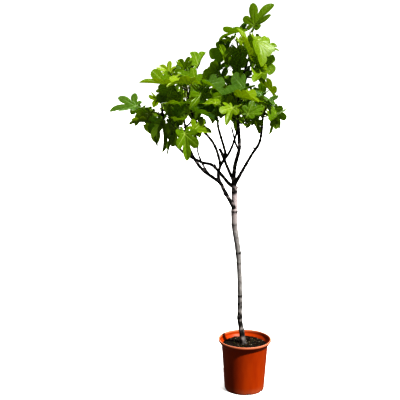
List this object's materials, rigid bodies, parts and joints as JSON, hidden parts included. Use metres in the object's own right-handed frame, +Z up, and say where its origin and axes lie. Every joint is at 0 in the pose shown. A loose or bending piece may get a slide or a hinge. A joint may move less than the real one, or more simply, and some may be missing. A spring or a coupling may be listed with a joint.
{
  "type": "potted fig tree",
  "caption": "Young fig tree grown as a bare-stemmed standard with a spreading, uneven head of lobed leaves, in a plain tapered nursery pot.",
  "frame": {"origin": "centre of the pot's flat underside, on the surface that it stands on", "axes": "+Z up along the pot's axis; +X towards the side that the head of leaves leans away from; +Y away from the front view"},
  "size_m": [0.8528, 0.7368, 1.8619],
  "materials": {
    "pot_plastic": "injection-moulded terracotta-coloured plastic, satin",
    "potting_mix": "moist peat and bark crumbs, rough",
    "bark": "smooth pale grey bark with ring scars",
    "young_bark": "dark grey-brown young bark with ring scars",
    "leaf": "leathery, slightly rough green leaf with pale veins"
  },
  "bodies": {
    "root": {"pot": "pot_plastic", "potting_mix": "potting_mix", "trunk": "bark", "leader": "young_bark", "low_left_bough": "young_bark", "left_bough": "young_bark", "right_bough": "young_bark", "back_right_bough": "young_bark", "middle_bough": "young_bark", "back_bough": "young_bark", "back_left_bough": "young_bark", "upper_left_bough": "young_bark", "front_bough": "young_bark", "middle_stub": "young_bark", "low_left_spur": "young_bark", "leader_spur": "young_bark", "leader_foliage": "leaf", "upper_left_foliage": "leaf", "left_foliage": "leaf", "low_left_foliage": "leaf", "middle_foliage": "leaf", "front_foliage": "leaf", "right_foliage": "leaf", "back_left_foliage": "leaf", "back_right_foliage": "leaf", "back_foliage": "leaf"}
  },
  "joints": []
}
